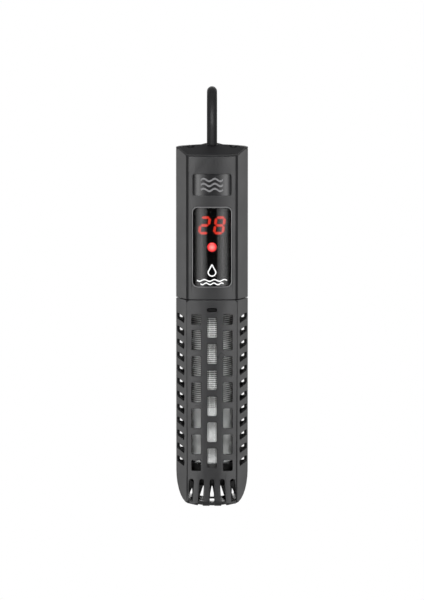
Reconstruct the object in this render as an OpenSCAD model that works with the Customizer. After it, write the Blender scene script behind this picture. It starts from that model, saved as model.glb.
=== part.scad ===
// Submersible aquarium heater: a digital control head with a quartz heating tube
// below it, in a slotted guard that slides off, held on the tank glass by two cups.
// Millimetres. +Z runs up the heater, +Y points at the glass, the display faces -Y.
// The origin is the centre of the upper cup's rim, on the glass.
// "Height" in a comment is counted from the lowest point of the guard.

/* [Body] */
// Width across the side edges
body_w = 42; // [41:0.5:44]
// Depth from the front face to the back face
body_d = 31; // [30.5:0.5:33]
// Height of the cap's ridge above the lowest point
body_h = 212; // [210:1:216]
// Height of the joint between guard and housing
seam_h = 121.8; // [121:0.2:122.4]
// Wall thickness of housing and guard
wall = 2; // [1.7:0.1:2]
// Radius on the six long edges
edge_r = 2.1; // [2:0.05:2.2]
// Radius of the slight bulge of the front and back faces
face_r = 80; // [70:5:120]
// Fall of the cap from its ridge to the front edge
roof_fall = 5; // [4:0.5:6]

/* [Guard] */
// Width of one window
window_w = 5.5; // [4.5:0.1:5.6]
// Height of a whole window
window_h = 11.6; // [10:0.1:12]
// Spacing of the windows up the guard
window_pitch = 15.36; // [15.2:0.02:15.4]
// Distance of the outer window columns from the middle
column_x = 9.28; // [9:0.02:9.4]
// Height of one side slot
side_slot_h = 3.4; // [2.6:0.1:3.6]
// Side slots on each long face
side_slot_count = 12; // [10:1:12]
// Width of the slots at the bottom end
end_slot_w = 2.7; // [2:0.1:3]

/* [Heating tube] */
// Outer diameter of the quartz tube
tube_d = 24; // [23:0.2:24]
// Wall thickness of the quartz tube
tube_wall = 1.2; // [1:0.1:1.2]
// Outer diameter of the wire winding
winding_d = 21.4; // [20.6:0.2:21.4]
// Length of the wire winding
winding_len = 61; // [40:1:66]

/* [Display] */
// Width of the display window
lens_w = 22.4; // [20:0.2:22.6]
// Height of the display window
lens_h = 46.2; // [44:0.2:46.6]
// Radius of the window's curved face
lens_r = 40; // [36:1:50]
// Diameter of the set button
button_d = 5.3; // [4.6:0.1:5.6]
// Travel of the set button
button_travel = 0.8; // [0.5:0.1:1]
// Width of the badge recess
badge_w = 22.5; // [18:0.5:23]
// Height of the badge recess
badge_h = 12.7; // [10:0.1:13]

/* [Suction cups] */
// Diameter of a cup's rim
cup_d = 30; // [26:1:32]
// Distance from the body's middle to the glass
standoff = 30; // [29.5:0.5:32]
// Height of the upper cup
upper_cup_h = 172; // [165:1:180]
// Height of the lower cup
lower_cup_h = 57.5; // [57:0.1:58]

/* [Mains lead] */
// Diameter of the lead
cord_d = 6; // [5:0.2:6]
// Width of the plug's body
plug_w = 35.3; // [33:0.1:35.4]
// Thickness of the plug's body
plug_t = 13.7; // [13:0.1:13.8]
// Diameter of a plug pin
pin_d = 4; // [3.8:0.1:4]
// Spacing of the two plug pins
pin_gap = 19; // [18:0.1:19]

/* [Hidden] */
$fn = 48;

// Clearances
eps = 0.01;
slip = 0.1;
guard_slip = 0.35;
seam_gap = 0.4;

// Cross-section: two gently bulged faces and four slanted ones
half_w = body_w / 2;
half_d = body_d / 2;
face_c = face_r - half_d;
side_turn = 24.5;
side_off = (half_w - edge_r) * cos(side_turn) + edge_r;
side_run = 10.4;
side_mid = -2;
back_run = 7.8;
back_mid = -3.3;
back_trim = 0.8;
side_low = 26.1;
side_rows = 84.5;
side_slope = 11.5;
through = 60;

// Windows, counted up from the lowest point
top_window = 105.6;
outer_window = 98.3;
short_window = 110.5;
short_window_h = 6;
last_window = 24.4;
last_window_h = 6.3;
window_r = 0.8;

// Roof of the cap
ledge_h = body_h - 9;
ledge_w = 1.4;
roof_arc_r = 150;
cap_skin = 1.2;
cap_wall = 2.4;
cap_lap = 1.6;
relief_low = 178;
flange_low = 197;
flange_t = 3;
screw_x = 12.5;
screw_y = -3.4;
screw_head_d = 3.8;
screw_head_t = 1.8;
screw_head_h = ledge_h + 3.4;
screw_low = ledge_h - 6;
screw_d = 2.4;
boss_wall = 1.2;

// Bottom end of the guard
end_h = 20;
end_side = 7;
end_rise = 2;
end_arc_r = 50;
end_corner_r = 4;
inner_slot_x = 6.05;
outer_slot_x = 12.1;
lip_from = -10;
lip_w = 4.5;
spine_w = 3;
spine_t = 1.2;
rib_from = 11.5;
rib_low = 0.8;
rib_top = 1.9;
point_h = 9;
slot_top = 16.4;
inner_lean = 3.2;
outer_lean = 4.2;
outer_slot_low = 4.6;
back_opening_w = 2.5;
corner_low = 3.6;
corner_top = 7;

// Tube and its holder
holder_low = 114;
holder_top = 127;
tube_low = 14;
tube_top = 128.5;
tube_end_r = 4;
tube_end_t = 1.5;
collar_t = 0.4;
collar_slip = 0.05;
collar_lip = 1.25;
seal_low = 124.4;
seal_h = 1.4;
seal_w = 0.7;
probe_x = 16;
probe_d = 3.2;
probe_low = 113.6;
probe_len = 16;
wire_x = 4;
wire_y = -1.7;
wire_d = 1.4;
wire_bore_d = 2;
fuse_d = 3.4;
fuse_len = 9;
former_d = 20.2;
former_low = 25;
former_top = 119;
winding_top = 118;
latch_w = 5.4;
latch_h = 2;
latch_slot_w = 5.9;
latch_slot_h = 2.5;
latch_mid = 116;
boot_low = 11.5;
boot_top = 25;
boot_wall = 0.85;

// Display and badge
lens_mid = 153;
lens_corner = 2.7;
lens_front = 16.1;
lens_shell = 2.2;
lens_back = 12.4;
frame_rim = 0.5;
button_mid = 153;
button_front = 16.5;
button_back = 8.8;
badge_mid = 189.4;
badge_deep = 0.9;
badge_proud = 0.6;

// Circuit board: the front is the side of the display
board_front = 4.2;
board_t = 1.6;
board_w = 26;
board_low = 134;
board_h = 62;
notch_low = 170;
notch_r = 6.2;
relay_low = 140;
relay_h = 16;
capacitor_x = -6.5;
capacitor_mid = 166;
capacitor_d = 8;
transformer_x = 6.5;
transformer_low = 160.5;
transformer_h = 12.5;
terminal_x = -10;
terminal_low = 178;
terminal_h = 12;
terminal_screw_d = 2.6;
led_x = 5.2;
switch_w = 6;
switch_low = button_mid - switch_w / 2;
module_w = 19;
module_h = 15;
digit_w = 6.4;
digit_h = 10.6;
digit_mid = 165.4;
digit_gap = 8.6;
digit_slant = 8;
digit_face = 10.8;
bar = 1.5;

// Cups and clips, measured from the body's middle
clip_w = 16;
clip_h = 18;
clip_back = 21;
clip_plate = 2.2;
stem_r = 2.5;
stem_slip = 0.08;
head_r = 4.4;
rim_w = 1.6;

// Route of the lead, in the body's own axes: [sideways, towards the glass, height]
lead_route = [
  [0, 0, 196.5], [0, 0, 204], [0, 0, 210], [0, 0, 216], [0, 1.9, 225.6], [0, 7.3, 233.7], [0, 15.4, 239.1],
  [0, 25, 241], [0, 34.6, 239.1], [0, 42.7, 233.7], [0, 48.1, 225.6], [0, 50, 216], [0, 50, 211],
  [0, 50, 206.2]
];
tail_route = [
  [-13, 83.2, 197.5], [-7, 83.2, 201.6], [0, 83.2, 203], [7, 83.2, 201.6], [13, 83.2, 197.5],
  [16.8, 83.2, 191.5], [18, 83.2, 184], [16.8, 83.2, 176], [13, 83.6, 168.5], [8, 84.5, 162],
  [4.4, 86.2, 156.5], [3, 87, 152.2]
];
cord_sides = 8;
hank_w = 42;
hank_low = 114;
hank_top = 206;
hank_front = 47;
hank_back = 80;
tie_low = 158;
tie_h = 9;
tie_t = 0.8;
plug_x = 3;
plug_y = 87;
plug_top = 152;
plug_len = 34;
pin_len = 19;
pin_tip = 1.5;
plug_shoulder = 12;

// ---- Shapes that several pieces share ----

// Points of an arc about c, from angle a to angle b
function arc(c, r, a, b, n) = [for (i = [0:n]) c + r * [cos(a + (b - a) * i / n), sin(a + (b - a) * i / n)]];

// Corner points of a rectangle with rounded corners
function round_rect(w, h, r, n = 3) = concat(
  arc([w / 2 - r, h / 2 - r], r, 0, 90, n), arc([r - w / 2, h / 2 - r], r, 90, 180, n),
  arc([r - w / 2, r - h / 2], r, 180, 270, n), arc([w / 2 - r, r - h / 2], r, 270, 360, n)
);

// Half profile of the guard's bottom end, drawn in by t: a shallow arc, then a quarter ellipse
function end_half(t) = concat(
  [for (i = [0:3]) let (x = (half_w - end_side) * i / 3)
    [x, end_arc_r - sqrt(pow(end_arc_r - t, 2) - x * x)]],
  [for (i = [1:7]) let (a = 90 * i / 7)
    [half_w - end_side + (end_side - t) * sin(a), end_h - (end_h - end_rise - t) * cos(a)]]
);
function flip(p) = [for (i = [len(p) - 1:-1:0]) [-p[i][0], p[i][1]]];

// A tube of n sides that follows the points p
function unit(v) = v / norm(v);
function along(p, i) = unit(p[min(i + 1, len(p) - 1)] - p[max(i - 1, 0)]);
function ring(p, i, r, n, side) =
  let (d = along(p, i), u = unit(side - (side * d) * d), v = cross(d, u))
  [for (k = [0:n - 1]) p[i] + r * cos(360 * k / n) * u + r * sin(360 * k / n) * v];

module tube_along(p, r, n, side) {
  last = len(p) - 1;
  points = [for (i = [0:last]) each ring(p, i, r, n, side)];
  walls = [for (i = [0:last - 1]) for (k = [0:n - 1])
    [i * n + k, (i + 1) * n + k, (i + 1) * n + (k + 1) % n, i * n + (k + 1) % n]];
  ends = [[for (k = [0:n - 1]) k], [for (k = [n - 1:-1:0]) last * n + k]];
  polyhedron(points, concat(walls, ends));
}

// Moves the body's own axes, at its middle and lowest point, to the part's frame
module in_place() {
  translate([0, -standoff, -upper_cup_h]) children();
}

// The body's cross-section, drawn in by t
module section(t) {
  x = (side_off - t) / cos(side_turn);
  y = (side_off - t) / sin(side_turn);
  intersection() {
    polygon([[x, 0], [0, y], [-x, 0], [0, -y]]);
    translate([0, face_c]) circle(r = face_r - t, $fn = 720);
    translate([0, -face_c]) circle(r = face_r - t, $fn = 720);
    circle(r = half_w - t, $fn = 180);
  }
}

// The same between two heights
module prism(t, low, high) {
  translate([0, 0, low]) linear_extrude(high - low) section(t);
}

// A shape drawn in the front plane, cut from depth a to depth b
module frontal(a, b) {
  translate([0, b, 0]) rotate([90, 0, 0]) linear_extrude(b - a) children();
}

// A box centred on x, from its other low corner
module block(w, y0, y1, z0, z1) {
  translate([-w / 2, y0, z0]) cube([w, y1 - y0, z1 - z0]);
}

// A rectangle with nearly round ends
module pill(w, h) {
  polygon(round_rect(w, h, h / 2 - 0.1));
}

// Everything under the roof, lowered by t: two slopes and a slightly arched ridge
module under_roof(t) {
  top = body_h - t;
  intersection() {
    rotate([90, 0, 90]) translate([0, 0, -through / 2]) linear_extrude(through)
      polygon([[-half_d, 0], [half_d, 0], [half_d, top - roof_fall], [0, top], [-half_d, top - roof_fall]]);
    union() {
      frontal(-through / 2, through / 2) intersection() {
        translate([0, top - roof_arc_r]) circle(r = roof_arc_r, $fn = 720);
        translate([-half_w, top - roof_arc_r]) square([body_w, roof_arc_r]);
      }
      translate([-half_w, -through / 2, 0]) cube([body_w, through, top - roof_fall - 10]);
    }
  }
}

// ---- Control head ----

module housing() {
  color([0.24, 0.24, 0.25]) in_place() difference() {
    intersection() {
      prism(0, seam_h + seam_gap, body_h);
      under_roof(cap_skin + slip);
    }
    // room for the electronics, and the seat of the cap above its ledge
    prism(wall, seam_h - 1, ledge_h - 1.5);
    prism(wall + ledge_w, ledge_h - 3, ledge_h + 1);
    prism(wall, ledge_h, body_h + 1);
    translate([0, 0, lens_mid]) frontal(-through / 2, -lens_back)
      polygon(round_rect(lens_w + 2 * frame_rim, lens_h + 2 * frame_rim, lens_corner + frame_rim));
    badge_room(-1, badge_deep, 0);
  }
}

// A window-sized slice of the front wall, between the insets a and b
module badge_room(a, b, gap) {
  intersection() {
    difference() {
      prism(a, badge_mid - badge_h / 2 - 1, badge_mid + badge_h / 2 + 1);
      prism(b, badge_mid - badge_h / 2 - 2, badge_mid + badge_h / 2 + 2);
    }
    translate([0, 0, badge_mid]) frontal(-through / 2, -half_d / 2)
      polygon(round_rect(badge_w - 2 * gap, badge_h - 2 * gap, 1.3 - gap));
  }
}

// The cap: a skin over the whole roof, and a hollow plug that drops into the housing
module top_cap() {
  color([0.13, 0.13, 0.14]) in_place() difference() {
    union() {
      intersection() {
        prism(wall + slip, ledge_h, body_h);
        under_roof(eps);
      }
      difference() {
        intersection() {
          prism(0, ledge_h, body_h);
          under_roof(0);
        }
        under_roof(cap_skin);
      }
    }
    difference() {
      intersection() {
        prism(wall + slip + cap_lap, ledge_h - 1, body_h);
        under_roof(cap_wall);
      }
      for (s = [-1, 1]) translate([s * screw_x, screw_y, 0])
        cylinder(r = screw_head_d / 2 + boss_wall, h = body_h);
      cylinder(r = cord_d / 2 + 2, h = body_h);
    }
    cylinder(r = cord_d / 2 + slip, h = body_h + 1);
    for (s = [-1, 1]) translate([s * screw_x, screw_y, 0]) {
      cylinder(r = screw_d / 2 + slip, h = body_h);
      translate([0, 0, screw_head_h]) cylinder(r = screw_head_d / 2 + slip, h = through);
    }
  }
}

module cap_screws() {
  color([0.62, 0.63, 0.65]) in_place() for (s = [-1, 1]) translate([s * screw_x, screw_y, 0]) {
    translate([0, 0, screw_low]) cylinder(r = screw_d / 2, h = screw_head_h - screw_low);
    difference() {
      translate([0, 0, screw_head_h]) cylinder(r = screw_head_d / 2, h = screw_head_t);
      translate([0, 0, screw_head_h + screw_head_t - 0.8]) cylinder(r = 1, h = 2, $fn = 6);
    }
  }
}

// A tapered sleeve with a flange: the cap presses the flange, the lead ends inside
module strain_relief() {
  color([0.08, 0.08, 0.08]) in_place() difference() {
    union() {
      translate([0, 0, relief_low]) cylinder(r1 = 4.2, r2 = 5.6, h = flange_low - relief_low);
      translate([0, 0, flange_low]) cylinder(r = 7, h = flange_t);
      translate([0, 0, flange_low + flange_t]) cylinder(r = 5, h = ledge_h - slip - flange_low - flange_t);
    }
    translate([0, 0, lead_route[0][2] - slip]) cylinder(r = cord_d / 2 + slip, h = 10);
    translate([0, 0, relief_low - 1]) cylinder(r = 1.6, h = 30);
  }
}

module badge_plate() {
  color([0.3, 0.3, 0.31]) in_place() badge_room(badge_deep - badge_proud, badge_deep - eps, slip);
}

module lens_frame() {
  rim = frame_rim - 0.02;
  color([0.62, 0.62, 0.63]) in_place() difference() {
    intersection() {
      prism(-0.1, lens_mid - lens_h, lens_mid + lens_h);
      translate([0, 0, lens_mid]) frontal(-through / 2, -lens_back - 1)
        polygon(round_rect(lens_w + 2 * rim, lens_h + 2 * rim, lens_corner + frame_rim));
    }
    translate([0, 0, lens_mid]) frontal(-through, 0) polygon(round_rect(lens_w, lens_h, lens_corner));
  }
}

module display_lens() {
  flange_h = lens_h + 2.4;
  color([0.05, 0.05, 0.06, 0.85]) in_place() difference() {
    union() {
      intersection() {
        translate([0, lens_r - lens_front, lens_mid - lens_h])
          cylinder(r = lens_r, h = 2 * lens_h, $fn = 180);
        translate([0, 0, lens_mid]) frontal(-through / 2, -lens_back)
          polygon(round_rect(lens_w - 0.06, lens_h - 0.06, lens_corner));
      }
      // flange that bears on the inside of the wall
      block(lens_w + 2.4, -lens_back, -lens_back + 1, lens_mid - flange_h / 2, lens_mid + flange_h / 2);
    }
    translate([0, lens_r - lens_front, lens_mid - lens_h / 2 + lens_shell])
      cylinder(r = lens_r - lens_shell, h = lens_h - 2 * lens_shell, $fn = 180);
    translate([0, 0, button_mid]) rotate([90, 0, 0]) cylinder(r = button_d / 2 + slip, h = through);
  }
}

module display_module() {
  color([0.1, 0.1, 0.1]) in_place()
    block(module_w, -digit_face, -board_front, digit_mid - module_h / 2, digit_mid + module_h / 2);
}

// One seven-segment digit; on lists which of its bars are lit
module digit(on) {
  mid = digit_h / 2 - bar / 2;
  side = digit_w / 2 - bar / 2;
  bars = [[0, 2 * mid, 0], [side, 1.5 * mid, 1], [side, 0.5 * mid, 1], [0, 0, 0],
    [-side, 0.5 * mid, 1], [-side, 1.5 * mid, 1], [0, mid, 0]];
  for (k = on) translate([bars[k][0] + (bars[k][1] - mid) * tan(digit_slant), bars[k][1] - mid])
    rotate(bars[k][2] * (90 - digit_slant)) segment(bars[k][2] == 1 ? mid - 0.4 : digit_w - bar - 0.4);
}

// A bar with pointed ends
module segment(length) {
  w = bar / 2;
  polygon([[-length / 2, 0], [-length / 2 + w, w], [length / 2 - w, w], [length / 2, 0],
    [length / 2 - w, -w], [-length / 2 + w, -w]]);
}

module digit_segments() {
  color([0.95, 0.15, 0.1]) in_place() translate([0, 0, digit_mid])
    frontal(-digit_face - 0.3, -digit_face - eps) {
      translate([-digit_gap / 2, 0]) digit([0, 1, 6, 4, 3]);
      translate([digit_gap / 2, 0]) digit([0, 1, 2, 3, 4, 5, 6]);
    }
}

module set_button() {
  color([0.9, 0.1, 0.1]) in_place() translate([0, 0, button_mid]) rotate([90, 0, 0]) {
    translate([0, 0, button_back]) cylinder(r = button_d / 2, h = button_front - 0.4 - button_back);
    translate([0, 0, button_front - 0.4]) cylinder(r1 = button_d / 2, r2 = button_d / 2 - 0.4, h = 0.4);
  }
}

module button_seal() {
  color([0.2, 0.2, 0.2]) in_place() translate([0, 0, button_mid]) rotate([90, 0, 0]) difference() {
    translate([0, 0, 10.2]) cylinder(r = 4.6, h = 1);
    cylinder(r = button_d / 2 + slip, h = through);
  }
}

module tact_switch() {
  color([0.75, 0.76, 0.78]) in_place() {
    block(switch_w, -board_front - 2.6, -board_front, switch_low, switch_low + switch_w);
    translate([0, -board_front - 2.5, button_mid]) rotate([90, 0, 0])
      cylinder(r = 1.7, h = button_back - button_travel - slip - board_front - 2.5);
  }
}

module button_led() {
  color([1, 0.35, 0.3]) in_place() translate([led_x, -board_front, button_mid]) rotate([90, 0, 0]) {
    cylinder(r = 1.5, h = 2.4);
    translate([0, 0, 2.4]) sphere(r = 1.45);
  }
}

module circuit_board() {
  color([0.1, 0.35, 0.2]) in_place() difference() {
    block(board_w, -board_front, -board_front + board_t, board_low, board_low + board_h);
    // notch for the strain relief
    translate([0, 0, notch_low]) cylinder(r = notch_r, h = body_h);
  }
}

module relay() {
  color([0.12, 0.25, 0.6]) in_place()
    block(16, -board_front + board_t, 8, relay_low, relay_low + relay_h);
}

module capacitor() {
  color([0.15, 0.15, 0.2]) in_place() translate([capacitor_x, -board_front + board_t, capacitor_mid])
    rotate([-90, 0, 0]) cylinder(r = capacitor_d / 2, h = 10);
}

module transformer() {
  color([0.85, 0.75, 0.3]) in_place() translate([transformer_x, 0, 0])
    block(11, -board_front + board_t, 7, transformer_low, transformer_low + transformer_h);
}

module terminal_block() {
  color([0.2, 0.5, 0.3]) in_place() translate([terminal_x, 0, terminal_low]) difference() {
    block(5.6, -board_front + board_t, 5, 0, terminal_h);
    for (z = [3, 9]) translate([0, 1, z]) rotate([-90, 0, 0]) cylinder(r = terminal_screw_d / 2, h = 10);
  }
}

// ---- Tube and its holder ----

module tube_holder() {
  color([0.16, 0.16, 0.17]) in_place() difference() {
    union() {
      prism(wall + slip, seam_h + seam_gap, holder_top);
      prism(wall + guard_slip, holder_low, seam_h + seam_gap + eps);
      // snap tongue, flush inside the guard's slot
      intersection() {
        prism(wall / 2, holder_low, seam_h);
        translate([0, 0, latch_mid]) frontal(-half_d, -half_d / 2) pill(latch_w, latch_h);
      }
    }
    translate([0, 0, holder_low - 1]) cylinder(r = tube_d / 2 + collar_t + collar_slip, h = through);
    translate([probe_x, 0, holder_low - 1]) cylinder(r = probe_d / 2 + collar_slip, h = through);
    translate([-probe_x, 0, seam_h]) cylinder(r = probe_d / 2, h = through);
    // groove for the seal
    difference() {
      prism(0, seal_low - slip, seal_low + seal_h + slip);
      prism(wall + 2 * slip + seal_w, seal_low - 1, seal_low + seal_h + 1);
    }
  }
}

module housing_seal() {
  color([0.55, 0.2, 0.12]) in_place() difference() {
    prism(wall + slip, seal_low, seal_low + seal_h);
    prism(wall + slip + seal_w, seal_low - 1, seal_low + seal_h + 1);
  }
}

module tube_collar() {
  color([0.5, 0.5, 0.48]) in_place() difference() {
    union() {
      translate([0, 0, holder_low + 0.6]) cylinder(r = tube_d / 2 + collar_t, h = holder_top - holder_low);
      translate([0, 0, holder_top + slip]) cylinder(r = tube_d / 2 + collar_lip, h = 1.5);
    }
    cylinder(r = tube_d / 2 + collar_slip, h = body_h);
  }
}

module temperature_probe() {
  color([0.75, 0.76, 0.78]) in_place() translate([probe_x, 0, 0]) {
    translate([0, 0, probe_low]) cylinder(r = probe_d / 2, h = probe_len);
    translate([0, 0, probe_low + probe_len - 0.6]) cylinder(r = 0.9, h = 6);
  }
}

module quartz_tube() {
  inner_r = tube_d / 2 - tube_wall;
  color([0.8, 0.88, 0.9, 0.35]) in_place() difference() {
    union() {
      translate([0, 0, tube_low + tube_end_r])
        cylinder(r = tube_d / 2, h = tube_top - tube_low - tube_end_r);
      translate([0, 0, tube_low]) cylinder(r = tube_d / 2 - tube_end_r, h = 2 * tube_end_r);
      translate([0, 0, tube_low + tube_end_r]) rotate_extrude()
        translate([tube_d / 2 - tube_end_r, 0]) circle(r = tube_end_r);
    }
    translate([0, 0, tube_low + 5]) cylinder(r = inner_r, h = through * 2);
    translate([0, 0, tube_low + tube_end_t]) cylinder(r = inner_r - 3.5, h = 8);
  }
}

module core_former() {
  color([0.78, 0.78, 0.76]) in_place() difference() {
    translate([0, 0, former_low]) cylinder(r = former_d / 2, h = former_top - former_low);
    for (s = [-1, 1]) translate([s * wire_x, wire_y, former_top - 12])
      cylinder(r = wire_bore_d / 2, h = 20);
    translate([0, 3, former_low - 1]) cylinder(r = 1.6, h = through * 2);
  }
}

// The winding's outer shape: the wire itself is laid as one close helix
module heating_wire() {
  color([0.45, 0.44, 0.42]) in_place() translate([0, 0, winding_top - winding_len]) difference() {
    cylinder(r = winding_d / 2, h = winding_len);
    translate([0, 0, -1]) cylinder(r = former_d / 2 + 0.05, h = winding_len + 2);
  }
}

module core_discs() {
  color([0.7, 0.66, 0.55]) in_place() for (h = [former_low - 1.2, former_top + 0.1])
    translate([0, 0, h]) difference() {
      cylinder(r = tube_d / 2 - tube_wall - 0.3, h = 1);
      for (s = [-1, 1]) translate([s * wire_x, wire_y, -1]) cylinder(r = wire_bore_d / 2, h = 4);
    }
}

module lead_wires() {
  color([0.75, 0.2, 0.15]) in_place() for (s = [-1, 1]) translate([s * wire_x, wire_y, former_top - 10])
    cylinder(r = wire_d / 2, h = board_low + 6 - former_top + 10);
}

module thermal_fuse() {
  color([0.85, 0.82, 0.75]) in_place() translate([-wire_x, wire_y, former_top + 2]) difference() {
    cylinder(r = fuse_d / 2, h = fuse_len);
    translate([0, 0, -1]) cylinder(r = wire_d / 2 + 0.05, h = fuse_len + 2);
  }
}

module tube_boot() {
  color([0.07, 0.07, 0.07]) in_place() difference() {
    union() {
      translate([0, 0, boot_low + 3]) cylinder(r = tube_d / 2 + boot_wall, h = boot_top - boot_low - 3);
      translate([0, 0, boot_low]) cylinder(r1 = tube_d / 2 - 2.4, r2 = tube_d / 2 + boot_wall, h = 3);
    }
    translate([0, 0, tube_low - 0.1]) cylinder(r = tube_d / 2 + collar_slip, h = through);
  }
}

// ---- Guard ----

// Everything above the curved bottom end, drawn in by t
module above_end(t) {
  intersection() {
    frontal(-through / 2, through / 2) polygon(concat(
      flip(end_half(t)), end_half(t), [[half_w - t, body_h], [t - half_w, body_h]]
    ));
    rotate([90, 0, 90]) translate([0, 0, -through / 2]) linear_extrude(through) polygon(concat(
      [[half_d - t, body_h], [t - half_d, body_h]],
      arc([end_corner_r - half_d, end_corner_r], end_corner_r - t, 180, 270, 4),
      arc([half_d - end_corner_r, end_corner_r], end_corner_r - t, 270, 360, 4)
    ));
  }
}

// Rows of windows for one face; the back face leaves out those behind its clip
module windows(behind) {
  for (k = [0:5]) if (!behind || k < 2 || k > 4) window(0, top_window - k * window_pitch, window_h);
  for (s = [-1, 1]) {
    window(s * column_x, short_window, short_window_h);
    for (k = [0:4]) if (!behind || k < 2 || k > 3)
      window(s * column_x, outer_window - k * window_pitch, window_h);
    window(s * column_x, last_window, last_window_h);
  }
}

module window(x, mid, h) {
  translate([x, mid]) polygon(round_rect(window_w, h, window_r));
}

// The row of slots on one slanted face, cut square to it. trim takes height off below
module side_slots(run, mid, trim) {
  pitch = side_rows / (side_slot_count - 1);
  for (k = [0:side_slot_count - 1])
    rotate([0, 0, side_turn]) translate([side_off - 5, mid, side_low + trim / 2 + k * pitch])
      rotate([90, 0, 90]) rotate(-side_slope) linear_extrude(10)
        polygon(round_rect(run, side_slot_h - trim, 0.9));
}

// One slot of the bottom end: round top, open below where it runs out of the edge
module end_slot(x, lean, low) {
  translate([x, slot_top - end_slot_w / 2]) rotate(lean) union() {
    circle(r = end_slot_w / 2);
    translate([-end_slot_w / 2, low - slot_top]) square([end_slot_w, slot_top - low]);
  }
}

// The bottom end: slots down the front and across the floor, broken by a lip near the
// front and a thinner spine in the middle, and pointed openings above a rib at the back
module end_slots() {
  difference() {
    frontal(-through / 2, rib_from) {
      end_slot(0, 0, -4);
      for (s = [-1, 1]) end_slot(s * inner_slot_x, s * inner_lean, -4);
    }
    difference() {
      block(body_w, -spine_w / 2, spine_w / 2, -1, end_h / 2);
      above_end(spine_t);
    }
    difference() {
      block(body_w, lip_from, lip_from + lip_w, -1, end_h / 2);
      above_end(wall);
    }
  }
  frontal(-through / 2, -half_d / 2) for (s = [-1, 1])
    end_slot(s * outer_slot_x, s * outer_lean, outer_slot_low);
  frontal(rib_from - eps, through / 2) {
    polygon([[-end_slot_w / 2, rib_top], [end_slot_w / 2, rib_top], [0, point_h]]);
    translate([-end_slot_w / 2, -1]) square([end_slot_w, 1 + rib_low]);
  }
  for (m = [0, 1]) mirror([m, 0, 0]) frontal(rib_from - eps, through / 2) {
    translate([inner_slot_x - back_opening_w / 2, 0]) {
      polygon([[0, rib_top], [back_opening_w, rib_top], [0.2, point_h]]);
      translate([0, -1]) square([back_opening_w, 1.2 + rib_low]);
    }
    translate([outer_slot_x, 0]) polygon([[-0.5, corner_low], [1.3, corner_low], [-0.3, corner_top]]);
  }
}

module guard() {
  color([0.24, 0.24, 0.25]) in_place() difference() {
    intersection() {
      prism(0, -1, seam_h);
      above_end(0);
    }
    intersection() {
      prism(wall, -1, seam_h + 1);
      above_end(wall);
    }
    frontal(-through / 2, 0) windows(false);
    frontal(0, through / 2) windows(true);
    for (m = [0, 1]) mirror([m, 0, 0]) {
      side_slots(back_run, back_mid, back_trim);
      mirror([0, 1, 0]) side_slots(side_run, side_mid, 0);
    }
    end_slots();
    // slot for the tongue, and the groove it leaves by when the guard is drawn off
    translate([0, 0, latch_mid]) frontal(-through / 2, 0) pill(latch_slot_w, latch_slot_h);
    intersection() {
      prism(wall / 2 - 0.2, latch_mid, seam_h + 1);
      block(latch_slot_w, -through / 2, -half_d / 2, latch_mid, seam_h + 1);
    }
  }
}

// ---- Suction cups and their clips ----

// A pocket with a slot that is open below: the heater's weight keeps the stem at its top
module clip(h) {
  color([0.2, 0.2, 0.21]) in_place() translate([0, 0, h]) difference() {
    frontal(half_d - 0.9, clip_back) polygon(round_rect(clip_w, clip_h, 2.5));
    intersection() {
      translate([0, 0, -h]) prism(-0.05, 0, body_h);
      block(through, 0, through, -through, through);
    }
    frontal(half_d - 1, clip_back + 1) {
      circle(r = stem_r + stem_slip);
      translate([-stem_r - stem_slip, -clip_h]) square([2 * (stem_r + stem_slip), clip_h]);
    }
    frontal(half_d - 1, clip_back - clip_plate) {
      circle(r = head_r + 0.3);
      translate([-head_r - 0.3, -clip_h]) square([2 * head_r + 0.6, clip_h]);
    }
  }
}

module upper_clip() { clip(upper_cup_h); }

module lower_clip() { clip(lower_cup_h); }

// Revolved about the stem; the profile is [radius, distance from the glass]
module cup(h) {
  rim = cup_d / 2;
  deep = standoff - clip_back;
  color([0.16, 0.16, 0.17, 0.9]) in_place() translate([0, standoff, h]) rotate([90, 0, 0]) {
    rotate_extrude($fn = 72) polygon([
      [rim, 0], [rim, 0.9], [rim - 1.4, 1.9], [rim - 4.5, 3.4], [6.5, deep - 2.2], [4.8, deep - 0.3],
      [0, deep - 0.3], [0, deep - 3.4], [5.5, deep - 4.2], [rim - 4.6, 1.6], [rim - rim_w, 0]
    ]);
    translate([0, 0, deep - 0.4]) cylinder(r = stem_r, h = clip_plate + 0.9);
    translate([0, 0, deep + clip_plate + 0.3]) cylinder(r1 = head_r, r2 = head_r - 1, h = 1.8);
  }
}

module upper_cup() { cup(upper_cup_h); }

module lower_cup() { cup(lower_cup_h); }

// ---- Mains lead ----

module cord_lead() {
  color([0.1, 0.1, 0.1]) in_place() tube_along(lead_route, cord_d / 2, cord_sides, [1, 0, 0]);
}

module cord_tail() {
  color([0.1, 0.1, 0.1]) in_place() tube_along(tail_route, cord_d / 2, cord_sides, [0, 1, 0]);
}

module cord_hank() {
  r = hank_w / 2;
  color([0.12, 0.12, 0.12]) in_place() frontal(hank_front, hank_back) union() {
    translate([-r, hank_low + r]) square([hank_w, hank_top - hank_low - hank_w]);
    for (h = [hank_low + r, hank_top - r]) translate([0, h]) circle(r = r);
  }
}

module hank_tie() {
  back = tail_route[9][1] + cord_d / 2 + 2 * tie_t;
  color([0.18, 0.18, 0.2]) in_place() translate([0, 0, tie_low]) linear_extrude(tie_h) difference() {
    translate([0, (hank_front + back) / 2]) square([hank_w, back - hank_front + 2 * tie_t], center = true);
    translate([0, (hank_front + back) / 2]) square([hank_w - 2 * tie_t, back - hank_front], center = true);
  }
}

module plug_body() {
  color([0.1, 0.1, 0.1]) in_place() translate([plug_x, plug_y, plug_top]) {
    translate([0, 0, -plug_len]) linear_extrude(plug_len - plug_shoulder)
      polygon(round_rect(plug_w, plug_t, plug_t / 2 - 0.5));
    translate([0, 0, -plug_shoulder - eps]) linear_extrude(8) polygon(round_rect(24, plug_t - 2, 5));
    translate([0, 0, -4 - 2 * eps]) cylinder(r1 = 5.4, r2 = 4.4, h = 4);
  }
}

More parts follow.
